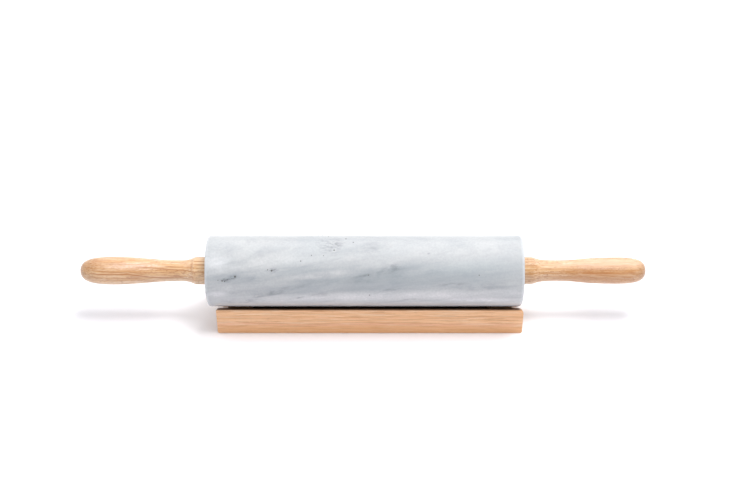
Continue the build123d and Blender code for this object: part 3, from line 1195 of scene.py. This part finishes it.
@dataclass(frozen=True)
class Cradle:
    """The open wooden frame under the pin: two long rails, two saddles between them and their dowels."""

    pin: Pin
    rail_clearance: float = 2.3
    rail_edge: float = 0.9
    rail_lip: float = 0.5
    rail_arris: float = 0.3
    worn_run: float = 5.0
    top_rounds: Point = (1.6, 4.5)
    foot_round: float = 1.6
    end_ease: float = 0.5
    seat_clearance: float = 0.3
    saddle_chamfer: float = 2.3
    saddle_ease: float = 0.3
    dowel_radius: float = 3.0
    dowel_length: float = 14.5
    dowel_chamfer: float = 0.6
    dowel_spacing: float = 9.0
    dowel_flutes: int = 20
    dowel_flute_depth: float = 0.12
    glue_line: float = 0.05
    hole_spare: float = 0.3

    def rail_section(self, inner: float, outer: float, height: float) -> list[Point]:
        """A rail's section, coved to stay clear of the barrel.

        Args:
            inner: millimetres from the cradle's middle plane to the rail's inner face.
            outer: the same to its outer face.
            height: the rail's height.

        Returns:
            Points of distance from the middle plane and height, once round anticlockwise.
        """
        edge, lip, arris = self.rail_edge, self.rail_lip, self.rail_arris
        axis = self.pin.centre.z / MM
        cove = self.pin.barrel_radius + self.rail_clearance
        blend = math.acos((axis - height + lip) / (cove + lip))
        foot = math.asin((inner + arris) / cove)
        section = arc((inner + arris, arris), arris, 180.0, 270.0, 3)
        section += arc((outer - edge, edge), edge, -90.0, 0.0, 5)
        section += straight((outer, edge), (outer, height - edge), 8)[:-1]
        section += arc((outer - edge, height - edge), edge, 0.0, 90.0, 6)
        crest = ((cove + lip) * math.sin(blend), height - lip)
        section += arc(crest, lip, 90.0, 90.0 + math.degrees(blend), 4)
        section += arc((0.0, axis), cove, math.degrees(blend) - 90.0, math.degrees(foot) - 90.0, 12)[1:]
        low = axis - math.sqrt(cove**2 - inner**2) - arris
        return section + [(inner, low)] + straight((inner, low), (inner, arris), 6)[:-1]

    def rail(self, name: str, node: str) -> Object:
        """Builds one rail, its top corners worn round.

        Args:
            name: the piece's name.
            node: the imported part.

        Returns:
            The rail, not yet drilled.
        """
        low, high = (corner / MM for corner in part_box(node))
        face = math.copysign(1.0, low.y + high.y)
        sides = sorted((abs(low.y), abs(high.y)))
        section = self.rail_section(sides[0], sides[1], high.z)
        run = self.worn_run
        reaches = [run * (step / 18) ** 2 for step in range(19)]
        places = [low.x + reach for reach in reaches]
        places += [along for along, _ in straight((low.x + run, 0.0), (high.x - run, 0.0), 48)[:-1]]
        places += [high.x - reach for reach in reversed(reaches)]
        rings = []
        for place in places:
            left, right = place - low.x, high.x - place
            reach = min(left, right)
            foot = quarter_round(reach, self.foot_round)
            top = quarter_round(left, self.top_rounds[0]) + quarter_round(right, self.top_rounds[1])
            shrunk = shrink(section, quarter_round(reach, self.end_ease))
            squeeze = (high.z - foot - top) / high.z
            rings.append([Vector((place, face * across, foot + up * squeeze)) * MM for across, up in shrunk])
        return loft(name, rings)

    def saddle(self, name: str, node: str) -> Object:
        """Builds one saddle, its top hollowed to the barrel's curve.

        Args:
            name: the piece's name.
            node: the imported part.

        Returns:
            The saddle, not yet drilled.
        """
        low, high = (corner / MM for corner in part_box(node))
        half, ease, axis = high.y, self.saddle_ease, self.pin.centre.z / MM
        seat = self.pin.barrel_radius + self.seat_clearance
        corner = axis - math.sqrt(seat**2 - half**2)
        reach = math.degrees(math.asin(half / seat) - self.saddle_chamfer / seat)
        section = arc((half - ease, ease), ease, -90.0, 0.0, 3)
        section += straight((half, ease), (half, corner - self.saddle_chamfer), 5)
        section += arc((0.0, axis), seat, reach - 90.0, -90.0 - reach, 28)
        section += [(-half, corner - self.saddle_chamfer)]
        section += straight((-half, corner - self.saddle_chamfer), (-half, ease), 5)[:-1]
        section += arc((-half + ease, ease), ease, 180.0, 270.0, 3)
        reaches = [ease * (step / 4) ** 2 for step in range(5)]
        places = [low.x + step for step in reaches] + [high.x - step for step in reversed(reaches)]
        rings = []
        for place in places:
            shrunk = shrink(section, quarter_round(min(place - low.x, high.x - place), ease))
            rings.append([Vector((place, across, up)) * MM for across, up in shrunk])
        return loft(name, rings)

    def dowels(self, name: str, grow: float, spare: float, flutes: float) -> Object:
        """Builds round bars at every dowel's place, for the dowels or for their holes.

        Args:
            name: the object's name.
            grow: how much wider than a dowel the bars are, on the radius.
            spare: how much longer they are at each end.
            flutes: how deep their flutes are.

        Returns:
            The bars as one object.
        """
        low, high = (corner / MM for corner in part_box("cradle_dowels"))
        radius, half, chamfer = self.dowel_radius + grow, self.dowel_length / 2 + spare, self.dowel_chamfer
        outline = [
            (-half, 0.0),
            (-half, radius - chamfer),
            (-half + chamfer, radius),
            *straight((-half + chamfer, radius), (half - chamfer, radius), 3),
            (half, radius - chamfer),
            (half, 0.0),
        ]
        middle = (low + high) / 2
        across = high.y - self.dowel_length / 2
        inner = (high.x - low.x) / 2 - self.dowel_radius
        mesh = bmesh.new()
        for end, step, face in itertools.product((-1, 1), (0.0, self.dowel_spacing), (-1, 1)):
            centre = Vector((middle.x + end * (inner - step), face * across, middle.z))

            def place(along: float, angle: float, out: float, centre: Vector = centre) -> Vector:
                """Puts one point of a bar in the frame, with its flutes.

                Args:
                    along: its place along the bar.
                    angle: its angle about the bar in degrees.
                    out: its distance from the bar's middle line.
                    centre: the bar's middle, in millimetres.

                Returns:
                    The point in metres.
                """
                turn = math.radians(angle)
                out -= flutes * (0.5 + 0.5 * math.cos(turn * self.dowel_flutes)) if out > 1.0 else 0.0
                return (centre + Vector((out * math.cos(turn), along, out * math.sin(turn)))) * MM

            spin(mesh, outline, self.dowel_flutes * 4, place)
        return finish_mesh(name, mesh)

    def build(self, long_grain: Material, cross_grain: Material) -> None:
        """Builds and dresses the rails, the saddles and the dowels.

        Args:
            long_grain: the rails' finish.
            cross_grain: the saddles' and the dowels' finish.
        """
        pieces = [(self.rail(f"{node}_wood", node), node, long_grain) for node in ("front_rail", "back_rail")]
        nodes = [side.node("saddle") for side in Side]
        pieces += [(self.saddle(f"{node}_wood", node), node, cross_grain) for node in nodes]
        for piece, node, material in pieces:
            drill(piece, self.dowels("dowel_holes", self.glue_line, self.hole_spare, 0.0))
            dress(piece, material, "cradle_wood", "cradle", node)
        joined = self.dowels("cradle_dowels_wood", 0.0, 0.0, self.dowel_flute_depth)
        dress(joined, cross_grain, "cradle_wood", "cradle", "cradle_dowels")


@dataclass(frozen=True)
class Axle:
    """The steel rod with its threads, and the washers, inserts and bushes at each end."""

    pin: Pin
    rod_radius: float = 4.0
    thread_radius: float = 3.0
    thread_depth: float = 0.6
    thread_pitch: float = 1.0
    thread_steps: int = 10
    thread_start: float = 0.3
    shoulder: float = 1.9
    shoulder_chamfer: float = 0.2
    tip_chamfer: float = 0.8
    tip_ease: float = 0.05
    washer_bore: float = 4.2
    washer_ease: float = 0.15
    bush_radius: float = 8.0
    bush_bore: float = 4.05
    bush_round: float = 0.3
    bush_taper: float = 0.8
    bush_chamfer: float = 0.4
    flange_thickness: float = 1.6
    insert_clearance: float = 0.05
    ring_depth: float = 0.8
    ring_width: float = 1.3
    ring_pitch: float = 2.5
    ring_ease: float = 0.1
    knurl_count: int = 36
    knurl_depth: float = 0.2

    def threaded(self, along: float, radius: float, angle: float, past: float) -> Point:
        """Cuts the thread at one point. It has flat crests and roots and runs out softly.

        Args:
            along: the point's place along the axis.
            radius: its distance from the axis.
            angle: its angle about the axis in degrees.
            past: how far it lies in from the thread's nearer end.

        Returns:
            The cut point's place and distance.
        """
        if past < self.thread_start:
            return along, radius
        phase = (along / self.thread_pitch + angle / 360.0) % 1.0
        groove = min(1.0, max(0.0, 1.25 - 2.5 * abs(phase - 0.5)))
        return along, radius - self.thread_depth * groove * min(1.0, past - self.thread_start)

    def rod(self, material: Material) -> None:
        """Builds the rod, its threads cut as one helix at each end.

        Args:
            material: its finish.
        """
        low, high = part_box("axle_rod")
        tip = (high.x - low.x) / 2 / MM
        shoulder = self.pin.barrel_half + self.shoulder
        root = self.thread_radius - self.thread_depth
        steps = round((tip - shoulder) / self.thread_pitch * self.thread_steps)
        end = [
            (shoulder - self.shoulder_chamfer, self.rod_radius),
            (shoulder, self.rod_radius - self.shoulder_chamfer),
            (shoulder, self.thread_radius),
            *straight((shoulder, self.thread_radius), (tip - self.tip_chamfer, self.thread_radius), steps),
            (tip, root - self.tip_ease),
            (tip, 0.0),
        ]
        left = [(-along, radius) for along, radius in reversed(end)]
        outline = left + straight(left[-1], end[0], 40)[:-1] + end

        def cut(along: float, radius: float, angle: float) -> Point:
            """Cuts the thread into the thin ends.

            Args:
                along: a point's place along the axis.
                radius: its distance from the axis.
                angle: its angle about the axis in degrees.

            Returns:
                The cut point's place and distance.
            """
            if radius < root or abs(along) > tip - self.tip_ease:
                return along, radius
            return self.threaded(along, radius, angle, abs(along) - shoulder)

        piece = revolve("axle_rod_steel", self.pin, outline, 64, cut)
        dress(piece, material, "steel", "handles", "axle_rod")

    def washer(self, side: Side, material: Material) -> None:
        """Builds one washer with eased edges.

        Args:
            side: the end it lies at.
            material: its finish.
        """
        node = side.node("washer")
        low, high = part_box(node)
        start, end = (low.x - self.pin.centre.x) / MM, (high.x - self.pin.centre.x) / MM
        radius, bore, ease = (high.z - low.z) / 2 / MM, self.washer_bore, self.washer_ease
        outline = [
            *arc((start + ease, radius - ease), ease, 180.0, 90.0, 4),
            *arc((end - ease, radius - ease), ease, 90.0, 0.0, 4),
            *arc((end - ease, bore + ease), ease, 0.0, -90.0, 4),
            *arc((start + ease, bore + ease), ease, -90.0, -180.0, 4),
        ]
        dress(revolve(f"{node}_steel", self.pin, outline, 96), material, "steel", "handles", node)

    def bush(self, side: Side, material: Material) -> None:
        """Builds one flanged bush, flush with the barrel's end.

        Args:
            side: the end it lies at.
            material: its finish.
        """
        low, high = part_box(side.node("bush"))
        half, flange = self.pin.barrel_half, (high.z - low.z) / 2 / MM
        inner, back = half - (high.x - low.x) / MM, half - self.flange_thickness
        body, bore, ease, chamfer = self.bush_radius, self.bush_bore, self.bush_round, self.bush_chamfer
        outline = [
            *arc((half - ease, flange - ease), ease, 0.0, 90.0, 4),
            (back, flange),
            *arc((back - ease, body + ease), ease, 0.0, -90.0, 4),
            (inner + self.bush_taper, body),
            (inner, body - chamfer),
            (inner, bore + chamfer),
            (inner + chamfer, bore),
            (half - chamfer, bore),
            (half, bore + chamfer),
        ]
        outline = [(side.value * along, radius) for along, radius in outline]
        piece = revolve(side.node("bush_nylon"), self.pin, outline, 96)
        dress(piece, material, "nylon", "barrel", side.node("bush"))

    def insert(self, side: Side, material: Material) -> None:
        """Builds one insert, knurled on its rings and threaded to fit the rod.

        Args:
            side: the end it lies at.
            material: its finish.
        """
        low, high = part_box(side.node("insert"))
        start = self.pin.barrel_half + self.shoulder
        end, outer = start + (high.x - low.x) / MM, (high.z - low.z) / 2 / MM
        core, bore = outer - self.ring_depth, self.thread_radius + self.insert_clearance
        count = int((end - start - self.ring_width) // self.ring_pitch) + 1
        ease = self.ring_ease
        outside: list[Point] = []
        for number in range(count):
            at = start + number * self.ring_pitch
            rim = at + self.ring_width
            outside += [(at + ease, outer), (rim - ease, outer), (rim, core)]
            outside += [(at + self.ring_pitch, core)] if number + 1 < count else [(end, core)]
        steps = round((end - start) / self.thread_pitch * self.thread_steps)
        outline = [(start, outer - ease), *outside, (end, bore), *straight((end, bore), (start, bore), steps)]
        outline = [(side.value * along, radius) for along, radius in outline]

        def cut(along: float, radius: float, angle: float) -> Point:
            """Knurls the rings and raises the thread in the bore.

            Args:
                along: a point's place along the axis.
                radius: its distance from the axis.
                angle: its angle about the axis in degrees.

            Returns:
                The cut point's place and distance.
            """
            if radius > core + ease:
                return along, radius - self.knurl_depth * (self.knurl_count * angle / 360.0 % 1.0)
            if radius > bore + ease:
                return along, radius
            return self.threaded(along, radius, angle, min(abs(along) - start, end - abs(along)))

        piece = revolve(side.node("insert_brass"), self.pin, outline, 144, cut)
        dress(piece, material, "brass", "handles", side.node("insert"))

    def build(self, steel: Material, brass: Material, nylon: Material) -> None:
        """Builds and dresses everything on the axle.

        Args:
            steel: the finish of the rod and the washers.
            brass: the inserts' finish.
            nylon: the bushes' finish.
        """
        self.rod(steel)
        for side in Side:
            self.washer(side, steel)
            self.bush(side, nylon)
            self.insert(side, brass)


@dataclass(frozen=True)
class Studio:
    """A white floor under a soft box overhead, with a white surround behind and above.

    Each step of the sky gives two tilts from straight up, in degrees and below zero in front, and the light
    that comes on between them. The side and its edge do the same for how far a direction points sideways.
    """

    pin: Pin
    camera_distance: float = 1.05
    camera_elevation: float = 37.5
    view_offset: Point = (8.2, 16.8)
    focal_length: float = 61.77
    floor_size: float = 8.0
    lamp_place: Triple = (0.24, -0.07, 1.18)
    lamp_size: float = 0.5
    lamp_power: float = 14.5
    low_front: float = 0.12
    sky_steps: tuple[Triple, ...] = ((-55.0, -28.0, 0.58), (5.0, 6.5, 0.88), (57.0, 58.5, -0.55))
    side: float = 1.1
    side_edge: Point = (0.15, 0.45)

    def camera(self) -> None:
        """Places the camera at the photograph's viewing angle."""
        turn = math.radians(self.camera_elevation)
        ahead = Vector((0.0, math.cos(turn), -math.sin(turn)))
        up = Vector((0.0, math.sin(turn), math.cos(turn)))
        across, above = self.view_offset
        aim = self.pin.centre + (Vector((across, 0.0, 0.0)) + up * above) * MM
        data = bpy.data.cameras.new("camera")
        data.lens = self.focal_length
        data.sensor_width = 36.0
        made = bpy.data.objects.new("camera", data)
        made.location = aim - ahead * self.camera_distance
        made.rotation_euler = ahead.to_track_quat("-Z", "Y").to_euler()
        bpy.context.scene.collection.objects.link(made)
        bpy.context.scene.camera = made

    def floor(self) -> None:
        """Lays the floor just under the cradle."""
        mesh = bmesh.new()
        bmesh.ops.create_grid(mesh, x_segments=4, y_segments=4, size=self.floor_size / 2)
        made = finish_mesh("floor", mesh)
        made.location.z = -0.1 * MM
        made.data.materials.append(MattBoard().build())

    def lamp(self) -> None:
        """Hangs the soft box, which faces the pin and isn't mirrored in it."""
        data = bpy.data.lights.new("soft_box_overhead", "AREA")
        data.size = self.lamp_size
        data.energy = self.lamp_power
        place = Vector(self.lamp_place)
        made = bpy.data.objects.new("soft_box_overhead", data)
        made.location = self.pin.centre + place
        made.rotation_euler = (-place).to_track_quat("-Z", "Y").to_euler()
        made.visible_glossy = False
        bpy.context.scene.collection.objects.link(made)

    def surround(self) -> None:
        """Lights the scene from all round: dark low down in front, brightest overhead and behind.

        The camera, mirrored rays and rays through clear pieces see plain white instead.
        """
        world = bpy.data.worlds.new("surround")
        bpy.context.scene.world = world
        sky = Recipe(world)
        facing = sky.add("ShaderNodeTexCoord").node.outputs["Generated"]
        parts = sky.add("ShaderNodeSeparateXYZ", {"Vector": facing}).node.outputs
        tilt = sky.add("ShaderNodeMath", {0: parts["Y"], 1: parts["Z"]}, operation="ARCTAN2")
        glow: Socket | float = self.low_front
        for start, end, change in self.sky_steps:
            step = sky.product((tilt, (math.radians(start), math.radians(end)), (0.0, change)))
            glow = sky.add("ShaderNodeMath", {0: glow, 1: step}, operation="ADD")
        aside = sky.add("ShaderNodeMath", {0: parts["X"]}, operation="ABSOLUTE")
        rays = sky.add("ShaderNodeLightPath").node.outputs
        white = [rays[f"Is {kind} Ray"] for kind in ("Camera", "Glossy", "Transmission")]
        for other in (sky.product((aside, self.side_edge, (0.0, self.side))), *white):
            glow = sky.add("ShaderNodeMath", {0: glow, 1: other}, operation="MAXIMUM")
        light = sky.add("ShaderNodeBackground", {"Color": srgb("#FFFFFF"), "Strength": glow})
        sky.add("ShaderNodeOutputWorld", {"Surface": light})

    def build(self) -> None:
        """Sets up camera, floor and light."""
        self.camera()
        self.floor()
        self.surround()
        self.lamp()
        bpy.context.scene.view_settings.view_transform = "Standard"


# The dark growth lines on the left handle, and the paler and darker places on each piece of wood: patches
# of the wood's own colour, end grain at the tips and a dark line where the left collar meets its shoulder.
# The pale bands along the handles' tops are painted highlight, and the darker, oranger zones low on their
# fronts are partly the wood's own colour and partly painted shade.
GROWTH_LINES: tuple[GrainLine, ...] = (
    GrainLine(-196.0, -158.0, 4.2, -1.0, 0.8, 0.95, 26.0),
    GrainLine(-186.0, -146.0, 8.2, 5.6, 0.5, 0.8),
    GrainLine(-208.0, -166.0, 5.9, 4.6, 0.5, 0.7),
    GrainLine(-214.0, -170.0, 10.6, 9.4, 0.4, 0.4),
)
LEFT_PATCHES_AND_PAINTED_LIGHT: tuple[Smudge, ...] = (
    Smudge(-172.0, 70.0, 84.0, 4.4, 2.0, 0.85, 0.9, "#E8DCC8", even=0.1, stretch=16.0),
    Smudge(-184.0, 58.0, 80.0, 9.0, 2.0, 0.95, 0.6, "#E2C6B8", even=0.3, stretch=5.0),
    Smudge(-186.0, 34.0, 100.0, 8.0, 1.0, 0.85, 0.9, "#A86C30", even=0.1, stretch=12.0),
    Smudge(-186.0, 4.0, 120.0, 13.0, 0.0, 0.65, 1.1, "#AC7542", even=0.3, stretch=12.0),
    Smudge(-186.0, 56.0, 80.0, 9.0, 2.0, 0.5, 0.5, "#A5643A", stretch=4.0),
    Smudge(-206.0, 88.0, 60.0, 9.0, 0.0, 0.9, 0.8, "#B0743C", even=0.15, stretch=14.0),
    Smudge(-221.0, 74.0, 34.0, 18.0, 0.0, 1.0, 0.8, "#9A6022", even=0.35, stretch=4.0),
    Smudge(-228.0, 44.0, 30.0, 30.0, 0.0, 1.0, 0.7, "#7E4F1C", even=0.15, stretch=2.0),
    Smudge(-145.0, 54.0, 18.0, 8.0, 4.0, 0.8, 0.9, "#A06236", even=0.35, stretch=4.0),
    Smudge(-140.2, 66.0, 2.8, 26.0, 0.0, 0.62, 3.0, "#98622E", even=0.5, stretch=1.0),
)
RIGHT_PATCHES_AND_PAINTED_LIGHT: tuple[Smudge, ...] = (
    Smudge(190.0, 14.0, 150.0, 22.0, 0.0, 0.95, 1.2, "#9A6226", even=0.5, stretch=14.0),
    Smudge(190.0, -24.0, 150.0, 18.0, 0.0, 0.85, 1.2, "#AA733E", even=0.5, stretch=14.0),
    Smudge(190.0, 29.0, 124.0, 5.0, 0.0, 0.8, 0.9, "#A06026", even=0.2, stretch=14.0),
    Smudge(184.0, 38.0, 100.0, 9.0, 0.0, 0.75, 0.5, "#8E5628", stretch=4.0),
    Smudge(190.0, 74.0, 160.0, 14.0, 0.0, 0.75, 1.1, "#C4A28C", even=0.6, stretch=18.0),
    Smudge(186.0, 52.0, 96.0, 6.0, 0.0, 0.7, 0.5, "#CCA690", even=0.1, stretch=3.0),
    Smudge(136.0, 34.0, 16.0, 18.0, 0.0, 0.8, 1.2, "#A87232", even=0.2, stretch=4.0),
    Smudge(227.0, 40.0, 16.0, 28.0, 0.0, 0.9, 0.8, "#8C5C2C", even=0.4, stretch=1.4),
)
RAIL_ZONES = (Smudge(0.0, -65.0, 900.0, 15.0, 0.0, 0.75, 5.0, "#D49C66", even=0.7, stretch=12.0),)


def main() -> None:
    """Builds the studio and every piece of the pin in order."""
    logging.basicConfig(level=logging.INFO, format="%(name)s: %(message)s")
    pin = Pin.read()
    Studio(pin).build()
    Barrel(pin).build(PolishedMarble().build(pin))
    left = Handle(
        pin,
        Side.LEFT,
        collar=11.4,
        neck=8.65,
        belly=11.55,
        runs=(8.8, 11.4, 1.0, 54.4, 27.6),
        shoulder_bends=(0.1, 0.59),
        swell_bends=(0.36, 0.35),
        nose_bend=0.73,
    )
    right = Handle(
        pin,
        Side.RIGHT,
        collar=11.2,
        neck=8.6,
        belly=11.0,
        runs=(5.6, 22.0, 1.0, 48.4, 23.0),
        shoulder_bends=(0.27, 0.91),
        swell_bends=(0.31, 0.6),
        nose_bend=0.75,
    )
    left_wood = Hardwood("hardwood_turned_left", coat=1.0, lines=GROWTH_LINES, zones=LEFT_PATCHES_AND_PAINTED_LIGHT, flecked=0.7)
    right_wood = Hardwood(
        "hardwood_turned_right",
        heart=(0.0, -30.0, -60.0),
        seed=23.0,
        flecked=0.9,
        coat=1.0,
        zones=RIGHT_PATCHES_AND_PAINTED_LIGHT,
    )
    rail_wood = Hardwood(
        "hardwood_planed",
        pale="#E6C8A8",
        light="#E8BB8F",
        rose="#E2AE8D",
        gold="#D59B6A",
        layer_spacing=3.4,
        heart=(0.0, 8.0, -160.0),
        lean=(0.0, 0.5, 0.0),
        seed=41.0,
        golden=0.5,
        lined=0.4,
        fibrous=0.42,
        flecked=0.12,
        roughness=0.5,
        zones=RAIL_ZONES,
        zone_radius=50.8,
        broad=0.3,
        # Painted shade on the rails' coves, next to the stone.
        painted_shade_span=(31.7, 33.0),
    )
    cross_wood = Hardwood(
        "hardwood_cross_cut",
        heart=(60.0, 0.0, -90.0),
        lean=(0.0, 0.0, 90.0),
        seed=57.0,
        # Painted shade on the saddles' seats, next to the stone.
        painted_shade_span=(31.2, 33.0),
    )
    left.build(left_wood.build(pin.centre))
    right.build(right_wood.build(pin.centre))
    Cradle(pin).build(rail_wood.build(pin.centre), cross_wood.build(pin.centre))
    steel = Metal("steel_drawn").build(pin.centre)
    brass = Metal("brass_machined", colour="#C9A24B", roughness=0.32).build(pin.centre)
    Axle(pin).build(steel, brass, MouldedNylon().build(pin.centre))


if __name__ == "__main__":
    main()
